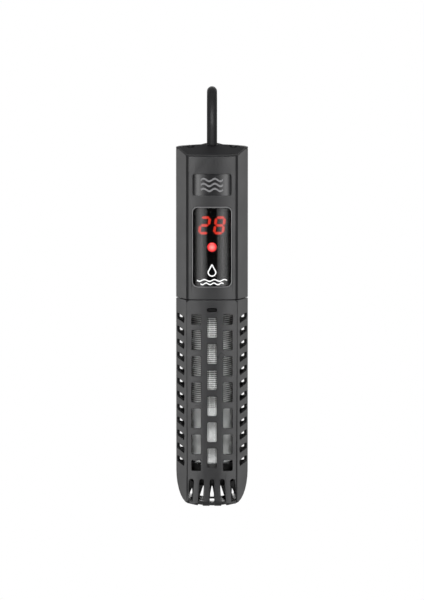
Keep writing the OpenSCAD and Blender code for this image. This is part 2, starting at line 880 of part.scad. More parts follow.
module plug_pins() {
  color([0.8, 0.8, 0.78]) in_place() for (s = [-1, 1])
    translate([plug_x + s * pin_gap / 2, plug_y, plug_top - plug_len]) rotate([180, 0, 0]) {
      cylinder(r = pin_d / 2, h = pin_len - pin_tip);
      translate([0, 0, pin_len - pin_tip]) cylinder(r1 = pin_d / 2, r2 = pin_d / 2 - 1, h = pin_tip);
    }
}

housing();
top_cap();
cap_screws();
strain_relief();
badge_plate();
lens_frame();
display_lens();
display_module();
digit_segments();
set_button();
button_seal();
tact_switch();
button_led();
circuit_board();
relay();
capacitor();
transformer();
terminal_block();
tube_holder();
housing_seal();
tube_collar();
temperature_probe();
quartz_tube();
core_former();
heating_wire();
core_discs();
lead_wires();
thermal_fuse();
tube_boot();
guard();
upper_clip();
lower_clip();
upper_cup();
lower_cup();
cord_lead();
cord_hank();
cord_tail();
hank_tie();
plug_body();
plug_pins();
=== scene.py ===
"""Dresses the submersible aquarium heater: shells, display, heating tube, cups and mains lead."""
import logging
import math
from collections.abc import Callable, Iterator, Mapping, Sequence
from contextlib import contextmanager
from dataclasses import dataclass, field
from enum import Enum
from functools import cache

import bmesh
import bpy
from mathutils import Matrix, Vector


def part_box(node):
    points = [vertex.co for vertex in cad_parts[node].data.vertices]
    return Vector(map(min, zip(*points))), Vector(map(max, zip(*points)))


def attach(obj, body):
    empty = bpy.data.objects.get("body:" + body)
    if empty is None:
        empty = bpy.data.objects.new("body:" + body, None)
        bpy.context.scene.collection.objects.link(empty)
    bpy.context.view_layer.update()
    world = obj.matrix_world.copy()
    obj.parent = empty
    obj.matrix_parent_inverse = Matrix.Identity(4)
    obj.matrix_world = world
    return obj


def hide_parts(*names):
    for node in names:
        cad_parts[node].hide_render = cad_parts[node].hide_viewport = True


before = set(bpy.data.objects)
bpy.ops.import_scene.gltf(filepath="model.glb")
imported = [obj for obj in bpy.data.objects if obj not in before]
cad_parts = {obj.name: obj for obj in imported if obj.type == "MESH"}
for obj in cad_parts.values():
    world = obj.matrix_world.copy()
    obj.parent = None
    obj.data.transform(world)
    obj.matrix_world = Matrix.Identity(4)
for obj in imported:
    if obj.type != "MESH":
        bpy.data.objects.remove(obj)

log = logging.getLogger("aquarium_heater")

Piece = bpy.types.Object
Tree = bpy.types.NodeTree
Node = bpy.types.Node
Socket = bpy.types.NodeSocket

MM = 0.001
GUARD_LOW, GUARD_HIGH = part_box("guard")
MIDDLE_Y = (GUARD_LOW.y + GUARD_HIGH.y) / 2
FOOT_Z = -0.172
WELD = 1e-6
SHARP = math.radians(42)
# How far the rounding of the shells reaches, in millimetres, and where their creases run, in metres.
EDGE_REACH = 0.28
CREASE_REACH = 1.3
CREASE_X, CREASE_Y = 0.01477, 0.01412
CREASE_SLACK = 2.5e-4
UPRIGHT_SLACK = 5e-5


class Body(str, Enum):
    """The bodies that pieces ride on."""

    HEATER = "heater"
    GUARD = "guard"
    BUTTON = "set_button"
    UPPER_CUP = "upper_cup"
    LOWER_CUP = "lower_cup"


class Along(Enum):
    """Where a turned piece's axis points: the turn about the sideways axis that leads there."""

    UP = 0.0
    FRONT = math.pi / 2


def place(across: float, depth: float, height: float) -> Vector:
    """Gives a point in the shared frame.

    Args:
        across: millimetres to the right of the heater's middle.
        depth: millimetres from the heater's middle towards the glass.
        height: millimetres above the lowest point of the guard.

    Returns:
        The point in metres.
    """
    return Vector((across * MM, MIDDLE_Y + depth * MM, FOOT_Z + height * MM))


# ---- Bench: the moves that every piece is shaped with ----


def deselect() -> None:
    """Leaves no object selected."""
    bpy.ops.object.select_all(action="DESELECT")


def only(piece: Piece) -> None:
    """Selects one object alone and makes it the active one."""
    deselect()
    piece.select_set(True)
    bpy.context.view_layer.objects.active = piece


def settle(piece: Piece) -> Piece:
    """Moves a piece's place, turn and scale into its mesh."""
    only(piece)
    bpy.ops.object.transform_apply(location=True, rotation=True, scale=True)
    return piece


def take(name: str) -> Piece:
    """Names the primitive just added and settles it."""
    piece = bpy.context.view_layer.objects.active
    piece.name = name
    piece.data.name = name
    return settle(piece)


@contextmanager
def editing(piece: Piece, start: str = "DESELECT") -> Iterator[None]:
    """Holds a piece in edit mode, with nothing selected at the start, or all of it for SELECT."""
    only(piece)
    bpy.ops.object.mode_set(mode="EDIT")
    bpy.ops.mesh.select_mode(type="VERT")
    bpy.ops.mesh.select_all(action=start)
    yield
    bpy.ops.object.mode_set(mode="OBJECT")


def pick(piece: Piece, kind: str, test: Callable) -> int:
    """Selects the parts of a mesh in edit mode that pass a test.

    Args:
        piece: the object in edit mode.
        kind: VERT, EDGE or FACE.
        test: takes one bmesh vertex, edge or face and says whether it is wanted.

    Returns:
        How many were selected.
    """
    bpy.ops.mesh.select_mode(type=kind)
    bpy.ops.mesh.select_all(action="DESELECT")
    mesh = bmesh.from_edit_mesh(piece.data)
    parts = {"VERT": mesh.verts, "EDGE": mesh.edges, "FACE": mesh.faces}[kind]
    wanted = [part for part in parts if test(part)]
    for part in wanted:
        part.select_set(True)
    bmesh.update_edit_mesh(piece.data)
    return len(wanted)


def modify(piece: Piece, kind: str, **settings: object) -> None:
    """Adds a modifier with the given settings and applies it."""
    only(piece)
    modifier = piece.modifiers.new(kind.lower(), kind)
    for name, value in settings.items():
        setattr(modifier, name, value)
    bpy.ops.object.modifier_apply(modifier=modifier.name)


def smooth(piece: Piece, angle: float = 35) -> Piece:
    """Shades a piece smooth, apart from its edges over the angle in degrees."""
    only(piece)
    bpy.ops.object.shade_smooth_by_angle(angle=math.radians(angle))
    return piece


def block(name: str, low: Vector, high: Vector) -> Piece:
    """Adds a box between two corners, as the start of a piece."""
    deselect()
    bpy.ops.mesh.primitive_cube_add(size=1, location=(low + high) / 2, scale=high - low)
    return take(name)


def turned(name: str, outline: Sequence[tuple[float, float]], centre: Vector,
           along: Along = Along.UP, steps: int = 64) -> Piece:
    """Spins an outline into a round piece.

    Args:
        name: the piece's name.
        outline: points (radius, distance along the axis) in millimetres; a ring repeats its first point.
        centre: where the axis starts.
        along: the direction of the axis.
        steps: how many strips go round.

    Returns:
        The piece, with its faces outwards.
    """
    deselect()
    bpy.ops.mesh.primitive_plane_add(size=MM)
    piece = take(name)
    with editing(piece, "SELECT"):
        bpy.ops.mesh.merge(type="CENTER")
        bpy.ops.transform.translate(value=(outline[0][0] * MM, 0, outline[0][1] * MM))
        for (r0, z0), (r1, z1) in zip(outline, outline[1:]):
            step = ((r1 - r0) * MM, 0, (z1 - z0) * MM)
            bpy.ops.mesh.extrude_vertices_move(TRANSFORM_OT_translate={"value": step})
        bpy.ops.mesh.select_all(action="SELECT")
        bpy.ops.mesh.spin(steps=steps, angle=math.tau, center=(0, 0, 0), axis=(0, 0, 1))
        bpy.ops.mesh.select_all(action="SELECT")
        bpy.ops.mesh.remove_doubles(threshold=WELD)
        bpy.ops.mesh.normals_make_consistent(inside=False)
    piece.rotation_euler = (along.value, 0, 0)
    piece.location = centre
    return smooth(settle(piece))


def joined(name: str, parts: Sequence[Piece]) -> Piece:
    """Makes several closed shapes one object."""
    deselect()
    for part in parts:
        part.select_set(True)
    bpy.context.view_layer.objects.active = parts[0]
    bpy.ops.object.join()
    parts[0].name = name
    return parts[0]


def softened(node: str, name: str, width: float, crease: float = 0.0,
             on_crease: Callable | None = None) -> Piece:
    """Copies a node's mesh, merges it and rounds its sharp edges.

    Args:
        node: the CAD node that is copied.
        name: the new piece's name.
        width: how far the rounding reaches from an edge, in millimetres.
        crease: a larger reach, for the edges that on_crease picks.
        on_crease: takes a bmesh edge and says whether it is one of the long creases.

    Returns:
        The new piece.
    """
    piece = bpy.data.objects.new(name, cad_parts[node].data.copy())
    bpy.context.scene.collection.objects.link(piece)
    with editing(piece, "SELECT"):
        bpy.ops.mesh.customdata_custom_splitnormals_clear()
        bpy.ops.mesh.remove_doubles(threshold=2 * WELD)
        bpy.ops.mesh.select_all(action="SELECT")
        bpy.ops.mesh.dissolve_limited(angle_limit=math.radians(0.4))
        if on_crease:
            pick(piece, "EDGE", on_crease)
            bpy.ops.transform.edge_bevelweight(value=1)
    if on_crease:
        modify(piece, "BEVEL", width=crease * MM, segments=5, limit_method="WEIGHT",
               use_clamp_overlap=False)
    modify(piece, "BEVEL", width=width * MM, segments=2, limit_method="ANGLE", angle_limit=SHARP,
           use_clamp_overlap=False)
    smooth(piece, 30)
    modify(piece, "WEIGHTED_NORMAL", keep_sharp=True)
    return piece


def is_crease(edge: bmesh.types.BMEdge) -> bool:
    """Tells the four long creases between the shells' wide faces and their slanted ones."""
    a, b = (v.co for v in edge.verts)
    upright = abs(a.x - b.x) < UPRIGHT_SLACK and abs(a.y - b.y) < UPRIGHT_SLACK
    across = abs(abs(a.x) - CREASE_X) < CREASE_SLACK
    deep = abs(abs(a.y - MIDDLE_Y) - CREASE_Y) < CREASE_SLACK
    return upright and across and deep


# ---- Shader wiring ----


def fill(tree: Tree, node: Node, inputs: Mapping) -> None:
    """Gives each input of a node its value, or links it where an output socket is given."""
    for key, value in inputs.items():
        if isinstance(value, Socket):
            tree.links.new(value, node.inputs[key])
        else:
            node.inputs[key].default_value = value


def add(tree: Tree, kind: str, inputs: Mapping, **settings: object) -> Node:
    """Adds a shader node.

    Args:
        tree: the tree that it joins.
        kind: its type.
        inputs: a value or an output socket for each input.
        settings: the node's own settings, made before its inputs are filled.

    Returns:
        The node.
    """
    node = tree.nodes.new(kind)
    for name, value in settings.items():
        setattr(node, name, value)
    fill(tree, node, inputs)
    return node


def own_place(tree: Tree) -> Socket:
    """Gives the Object coordinates inside a tree."""
    return tree.nodes.new("ShaderNodeTexCoord").outputs["Object"]


def by_ray(tree: Tree, ray: str, usual: Socket, special: Socket, end: str) -> None:
    """Shows one shader to a kind of ray and another to all other rays.

    Args:
        tree: the tree that both are in.
        ray: the Light Path output for the kind of ray.
        usual: what all other rays meet.
        special: what that kind of ray meets.
        end: the name of the tree's output node.
    """
    rays = tree.nodes.new("ShaderNodeLightPath")
    mix = add(tree, "ShaderNodeMixShader", {"Fac": rays.outputs[ray], 1: usual, 2: special})
    fill(tree, tree.nodes[end], {"Surface": mix.outputs["Shader"]})


def blank(name: str) -> tuple[bpy.types.Material, Tree, Node]:
    """Makes a material and gives it with its tree and its Principled BSDF."""
    material = bpy.data.materials.new(name)
    material.use_nodes = True
    return material, material.node_tree, material.node_tree.nodes["Principled BSDF"]


def group(name: str, inputs: Mapping[str, float], outputs: Sequence[str]) -> Tree:
    """Makes an empty group with float sockets.

    Args:
        name: the group's name.
        inputs: the input sockets and their usual values.
        outputs: the output sockets.

    Returns:
        The group, with its Group Input and Group Output nodes.
    """
    tree = bpy.data.node_groups.new(name, "ShaderNodeTree")
    for socket, value in inputs.items():
        made = tree.interface.new_socket(socket, in_out="INPUT", socket_type="NodeSocketFloat")
        made.default_value = value
    for socket in outputs:
        tree.interface.new_socket(socket, in_out="OUTPUT", socket_type="NodeSocketFloat")
    tree.nodes.new("NodeGroupInput")
    tree.nodes.new("NodeGroupOutput")
    return tree


@cache
def grain_group() -> Tree:
    """Gives the fine texture of a moulded or cast surface: a height and a roughness."""
    values = {"Scale": 1500.0, "Smoothest": 0.3, "Roughest": 0.45}
    tree = group("surface_grain", values, ("Height", "Roughness"))
    given, where = tree.nodes["Group Input"].outputs, own_place(tree)
    fine = add(tree, "ShaderNodeTexNoise", {"Detail": 3, "Vector": where, "Scale": given["Scale"]})
    patch = add(tree, "ShaderNodeTexNoise", {"Scale": 70, "Detail": 4, "Vector": where})
    ranged = add(tree, "ShaderNodeMapRange", {
        "From Min": 0.3, "From Max": 0.7, "Value": patch.outputs["Fac"],
        "To Min": given["Smoothest"], "To Max": given["Roughest"]})
    fill(tree, tree.nodes["Group Output"],
         {"Height": fine.outputs["Fac"], "Roughness": ranged.outputs["Result"]})
    return tree


@cache
def bloom_group() -> Tree:
    """Gives a mask for the faint bloom, dust and handling marks that lie on a surface."""
    tree = group("surface_bloom", {"Scale": 120.0, "Cover": 0.5}, ("Mask",))
    given = tree.nodes["Group Input"].outputs
    cloud = add(tree, "ShaderNodeTexNoise", {
        "Detail": 6, "Roughness": 0.6, "Vector": own_place(tree), "Scale": given["Scale"]})
    shaped = add(tree, "ShaderNodeMapRange", {
        "From Min": 0.35, "From Max": 0.75, "Value": cloud.outputs["Fac"], "To Max": given["Cover"]},
        interpolation_type="SMOOTHSTEP")
    fill(tree, tree.nodes["Group Output"], {"Mask": shaped.outputs["Result"]})
    return tree


def textured(tree: Tree, shader: Node, grain: tuple[float, float, float],
             strength: float, depth: float) -> None:
    """Gives a shader its varied gloss and its fine bumps.

    Args:
        tree: the tree that the shader is in.
        shader: the shader.
        grain: the grain's scale, and its smoothest and roughest values.
        strength: how strong the bumps are.
        depth: how deep they are, in millimetres.
    """
    scale, smoothest, roughest = grain
    made = add(tree, "ShaderNodeGroup", {"Scale": scale, "Smoothest": smoothest, "Roughest": roughest},
               node_tree=grain_group())
    bump = add(tree, "ShaderNodeBump", {
        "Strength": strength, "Distance": depth * MM, "Height": made.outputs["Height"]})
    fill(tree, shader, {"Roughness": made.outputs["Roughness"], "Normal": bump.outputs["Normal"]})


# ---- Finishes ----


@dataclass(frozen=True)
class Surface:
    """A solid finish: colour with a faint bloom, moulded grain and a varied gloss.

    Colours are linear; depths are in millimetres.
    """

    name: str
    colour: tuple[float, float, float]
    bloom: tuple[float, float, float]
    smoothest: float = 0.3
    roughest: float = 0.45
    cover: float = 0.5
    bloom_scale: float = 90.0
    grain_scale: float = 1500.0
    grain_depth: float = 0.02
    metallic: float = 0.0
    specular: float = 0.5
    sheen: float = 0.0
    glow: tuple[float, float, float] = (0.0, 0.0, 0.0)
    glow_strength: float = 0.0

    def shader(self) -> tuple[bpy.types.Material, Node]:
        """Builds the material and gives it with its Principled BSDF."""
        material, tree, shader = blank(self.name)
        textured(tree, shader, (self.grain_scale, self.smoothest, self.roughest), 0.6, self.grain_depth)
        marks = add(tree, "ShaderNodeGroup", {"Scale": self.bloom_scale, "Cover": self.cover},
                    node_tree=bloom_group())
        tint = add(tree, "ShaderNodeMix", {
            "A": (*self.colour, 1), "B": (*self.bloom, 1), "Factor": marks.outputs["Mask"]},
            data_type="RGBA")
        fill(tree, shader, {
            "Base Color": tint.outputs["Result"], "Metallic": self.metallic,
            "Specular IOR Level": self.specular, "Sheen Weight": self.sheen,
            "Emission Color": (*self.glow, 1), "Emission Strength": self.glow_strength})
        return material, shader

    def build(self) -> bpy.types.Material:
        """Builds the material alone."""
        return self.shader()[0]


@dataclass(frozen=True)
class Lit(Surface):
    """A lit red part, palest at its middle, fading to its own red at the rim."""

    centre: tuple[float, float, float] = (0.0, 0.0, 0.0)
    reach: float = 3.0
    heart: tuple[float, float, float] = (1.0, 0.36, 0.33)

    def build(self) -> bpy.types.Material:
        """Builds the material, with the glow on top of the ordinary surface."""
        material, shader = self.shader()
        tree = material.node_tree
        size = 1 / (self.reach * MM)
        mapping = add(tree, "ShaderNodeMapping", {
            "Scale": (size,) * 3, "Location": [-c * size for c in self.centre],
            "Vector": own_place(tree)})
        ball = add(tree, "ShaderNodeTexGradient", {"Vector": mapping.outputs["Vector"]},
                   gradient_type="SPHERICAL")
        ramp = add(tree, "ShaderNodeValToRGB", {"Fac": ball.outputs["Fac"]})
        stops = ((self.glow, 0.25), (self.heart, 0.95))
        for stop, (colour, position) in zip(ramp.color_ramp.elements, stops):
            stop.color = (*colour, 1)
            stop.position = position
        fill(tree, shader, {"Emission Color": ramp.outputs["Color"]})
        return material


@dataclass(frozen=True)
class Clear:
    """A see-through finish: glass, quartz or smoked plastic."""

    name: str
    tint: tuple[float, float, float]
    ior: float = 1.46
    smoothest: float = 0.02
    roughest: float = 0.06
    wave: float = 0.02
    shadow_alpha: float = 0.25

    def build(self) -> bpy.types.Material:
        """Builds the material, which lets most light through for shadows."""
        material, tree, shader = blank(self.name)
        textured(tree, shader, (60, self.smoothest, self.roughest), 0.3, self.wave)
        fill(tree, shader, {"Base Color": (*self.tint, 1), "Transmission Weight": 1, "IOR": self.ior})
        clear = [1 - self.shadow_alpha + self.shadow_alpha * t for t in self.tint]
        passing = add(tree, "ShaderNodeBsdfTransparent", {"Color": (*clear, 1)})
        by_ray(tree, "Is Shadow Ray", shader.outputs["BSDF"], passing.outputs["BSDF"], "Material Output")
        return material


BUTTON_FACE = place(0, -16.5, 153)

FINISHES: dict[str, Surface | Clear] = {
    "shell": Surface("charcoal_moulding", (0.017, 0.017, 0.018), (0.022, 0.022, 0.023), 0.27, 0.34,
        grain_scale=1400, grain_depth=0.004),
    "cap": Surface("black_moulding", (0.012, 0.012, 0.013), (0.020, 0.020, 0.021), 0.38, 0.5,
        grain_depth=0.008, specular=0.3),
    "inner": Surface("dark_moulding", (0.014, 0.014, 0.015), (0.022, 0.022, 0.022), 0.45, 0.6,
        specular=0.3),
    # Near-black holder: painted shade, darker than the other black mouldings so that it reads as shadowed in the
    # seam and the latch slot.
    "holder": Surface("painted_shade_moulding", (0.004, 0.004, 0.004), (0.006, 0.006, 0.006), 0.5, 0.6,
        specular=0.12),
    "badge": Surface("badge_satin", (0.010, 0.010, 0.011), (0.014, 0.014, 0.014), 0.16, 0.22,
        grain_depth=0.003, specular=0.6),
    "badge_mark": Surface("badge_ink", (0.17, 0.17, 0.175), (0.22, 0.22, 0.22), 0.4, 0.5),
    # White print with a faint painted glow: the emission is painted light, since the print is no lamp.
    "print": Surface("white_print_painted_glow", (0.82, 0.82, 0.82), (0.7, 0.7, 0.7), 0.45, 0.6, glow=(1, 1, 1),
        glow_strength=0.12),
    "frame": Surface("frame_line", (0.15, 0.15, 0.155), (0.20, 0.20, 0.20), 0.25, 0.35),
    "digits": Surface("lit_bars", (0.6, 0.03, 0.02), (0.5, 0.02, 0.015), cover=0.6, bloom_scale=400,
        glow=(1.0, 0.05, 0.025), glow_strength=6.5),
    "button": Lit("lit_button", (0.55, 0.03, 0.03), (0.45, 0.02, 0.02), 0.22, 0.3,
        glow=(0.60, 0.012, 0.012), glow_strength=0.85, centre=tuple(BUTTON_FACE), reach=2.8),
    "rubber": Surface("black_rubber", (0.012, 0.012, 0.012), (0.024, 0.024, 0.023), 0.5, 0.7,
        grain_scale=900, grain_depth=0.04, specular=0.3),
    "silicone": Surface("grey_silicone", (0.2, 0.2, 0.19), (0.28, 0.28, 0.27), 0.45, 0.6),
    "seal": Surface("red_seal", (0.25, 0.035, 0.02), (0.3, 0.05, 0.03), 0.4, 0.55),
    "screw": Surface("screw_steel", (0.42, 0.42, 0.43), (0.3, 0.3, 0.3), 0.25, 0.42, metallic=1),
    "probe": Surface("probe_steel", (0.55, 0.55, 0.56), (0.42, 0.42, 0.42), 0.18, 0.32, metallic=1),
    "nickel": Surface("nickel_plate", (0.66, 0.64, 0.6), (0.5, 0.48, 0.45), 0.12, 0.25, metallic=1),
    "wire": Surface("heating_wire", (0.10, 0.095, 0.09), (0.17, 0.16, 0.15), 0.35, 0.5,
        metallic=0.6, bloom_scale=300),
    "ceramic": Surface("white_ceramic", (0.58, 0.58, 0.57), (0.48, 0.48, 0.47), 0.6, 0.8,
        grain_scale=700, grain_depth=0.06),
    "board": Surface("board_green", (0.02, 0.12, 0.05), (0.03, 0.16, 0.07), 0.3, 0.4),
    "relay": Surface("relay_blue", (0.02, 0.06, 0.30), (0.03, 0.08, 0.34), 0.3, 0.4),
    "sleeve": Surface("capacitor_sleeve", (0.02, 0.02, 0.04), (0.03, 0.03, 0.06), 0.25, 0.35),
    "tape": Surface("coil_tape", (0.62, 0.42, 0.06), (0.5, 0.33, 0.04), 0.35, 0.5),
    "terminal": Surface("terminal_green", (0.03, 0.2, 0.08), (0.05, 0.26, 0.1), 0.4, 0.5),
    "red_wire": Surface("wire_sleeve", (0.5, 0.03, 0.02), (0.42, 0.03, 0.02), 0.4, 0.5),
    "fuse": Surface("fuse_body", (0.6, 0.56, 0.45), (0.5, 0.46, 0.37), 0.4, 0.5),
    "sheath": Surface("cord_sheath", (0.013, 0.013, 0.014), (0.02, 0.02, 0.02), 0.4, 0.52,
        grain_scale=1100, grain_depth=0.02, specular=0.22),
    "plug": Surface("plug_moulding", (0.014, 0.014, 0.015), (0.022, 0.022, 0.022), 0.42, 0.55,
        specular=0.35),
    "strap": Surface("tie_weave", (0.02, 0.02, 0.023), (0.035, 0.035, 0.04), 0.75, 0.9,
        grain_scale=2200, grain_depth=0.12, sheen=0.3),
    "cup": Surface("smoky_silicone", (0.03, 0.03, 0.032), (0.045, 0.045, 0.045), 0.22, 0.34),
    "quartz": Clear("quartz", (0.96, 0.98, 0.99)),
    "window": Clear("smoked_window", (0.10, 0.10, 0.10), ior=1.36, smoothest=0.01, roughest=0.03,
        wave=0.002),
}


@cache
def paint(name: str) -> bpy.types.Material:
    """Gives the finish of that name, built the first time that a piece asks for it."""
    return FINISHES[name].build()


def hand_over(piece: Piece, finish: str, slot: str, *stands_for: str,
              body: Body = Body.HEATER) -> None:
    """Dresses a finished piece and rides it on its body.

    Args:
        piece: the new piece, at the origin, with its place in its mesh.
        finish: a name from FINISHES.
        slot: the record's material slot; not used.
        stands_for: the CAD nodes that it takes the place of.
        body: the body that it moves with.
    """
    piece.data.materials.clear()
    piece.data.materials.append(paint(finish))
    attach(piece, body.value)
    if stands_for:
        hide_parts(*stands_for)
    log.info("%s: rides on %s, finish %s", piece.name, body.value, finish)


def dress(node: str, finish: str) -> None:
    """Gives a CAD node that stays in view its finish."""
    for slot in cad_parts[node].material_slots:
        slot.material = paint(finish)
    log.info("%s: kept from CAD, finish %s", node, finish)


# ---- Sub-assemblies ----


@dataclass
class Studio:
    """The camera, the pale floor and the soft lights. Distances are in metres."""

    elevation: float = 6.5
    distance: float = 3.0
    lens: float = 307.0
    floor_size: float = 160.0
    aim: Vector = field(default_factory=lambda: place(0, 0, 120.3))
    floor_z: float = -1.3
    dimness: float = 0.14

    def camera(self) -> None:
        """Puts the camera in front of the display, looking a little down."""
        data = bpy.data.cameras.new("camera")
        data.lens = self.lens
        data.clip_start = 0.05
        data.clip_end = 100
        camera = bpy.data.objects.new("camera", data)
        tilt = math.radians(self.elevation)
        back = Vector((0, -math.cos(tilt), math.sin(tilt))) * self.distance
        camera.location = self.aim + back
        camera.rotation_euler = (math.pi / 2 - tilt, 0, 0)
        bpy.context.scene.collection.objects.link(camera)
        bpy.context.scene.camera = camera

    def panel(self, name: str, where: tuple[float, float, float], size: tuple[float, float],
              strength: float, edge: float) -> None:
        """Hangs one softbox that faces the heater, brightest at its middle.

        Args:
            name: the softbox's name.
            where: its place in metres, from the point that the camera looks at.
            size: its width and height in metres.
            strength: its brightness at the middle.
            edge: its brightness at the rim, as a share of the middle's.
        """
        deselect()
        bpy.ops.mesh.primitive_plane_add(size=2)
        box = take(name)
        box.scale = (size[0] / 2, size[1] / 2, 1)
        box.location = self.aim + Vector(where)
        box.rotation_euler = (-Vector(where)).to_track_quat("Z", "Y").to_euler()
        cloth, tree, _ = blank(f"{name}_cloth")
        ball = add(tree, "ShaderNodeTexGradient", {"Vector": own_place(tree)}, gradient_type="SPHERICAL")
        fall = add(tree, "ShaderNodeMapRange", {
            "To Min": strength * edge, "To Max": strength, "Value": ball.outputs["Fac"]})
        light = add(tree, "ShaderNodeEmission", {"Strength": fall.outputs["Result"]})
        fill(tree, tree.nodes["Material Output"], {"Surface": light.outputs["Emission"]})
        box.data.materials.append(cloth)
        box.visible_camera = False

    def floor(self) -> None:
        """Lays a wide, pale, matt floor far below the heater."""
        deselect()
        bpy.ops.mesh.primitive_plane_add(size=self.floor_size, location=(0, 0, self.floor_z))
        ground = take("studio_floor")
        paper, tree, shader = blank("studio_paper")
        fill(tree, shader, {"Base Color": (0.5, 0.5, 0.5, 1), "Roughness": 1, "Specular IOR Level": 0})
        white = tree.nodes.new("ShaderNodeEmission")
        by_ray(tree, "Is Camera Ray", shader.outputs["BSDF"], white.outputs["Emission"],
               "Material Output")
        ground.data.materials.append(paper)

    def surroundings(self) -> None:
        """Paints the air plain white for the eye, and a dim grey for what the gloss picks up."""
        world = bpy.data.worlds.new("studio")
        world.use_nodes = True
        tree = world.node_tree
        dim = tree.nodes["Background"]
        fill(tree, dim, {"Color": (1, 1, 1, 1), "Strength": self.dimness})
        white = add(tree, "ShaderNodeBackground", {"Color": (1, 1, 1, 1)})
        by_ray(tree, "Is Camera Ray", dim.outputs["Background"], white.outputs["Background"],
               "World Output")
        bpy.context.scene.world = world

    def build(self) -> None:
        """Sets up the camera, the lights, the floor and the plain surroundings."""
        self.camera()
        self.floor()
        for side in (-1, 1):
            self.panel("front_softbox", where=(side * 0.53, -1.6, -0.1), size=(0.68, 2.6),
                       strength=5.0, edge=0.0)
            self.panel("rear_softbox", where=(side * 1.65, 1.05, -0.1), size=(1.3, 2.6),
                       strength=1.8, edge=0.05)
        self.panel("back_softbox", where=(0, 1.9, 0.0), size=(1.5, 2.2), strength=3.0, edge=0.1)
        self.panel("top_softbox", where=(0, -1.25, 1.35), size=(2.0, 1.1), strength=14.0, edge=0.2)
        self.surroundings()
        bpy.context.scene.view_settings.view_transform = "Standard"
        log.info("studio: camera, floor and five soft lights")


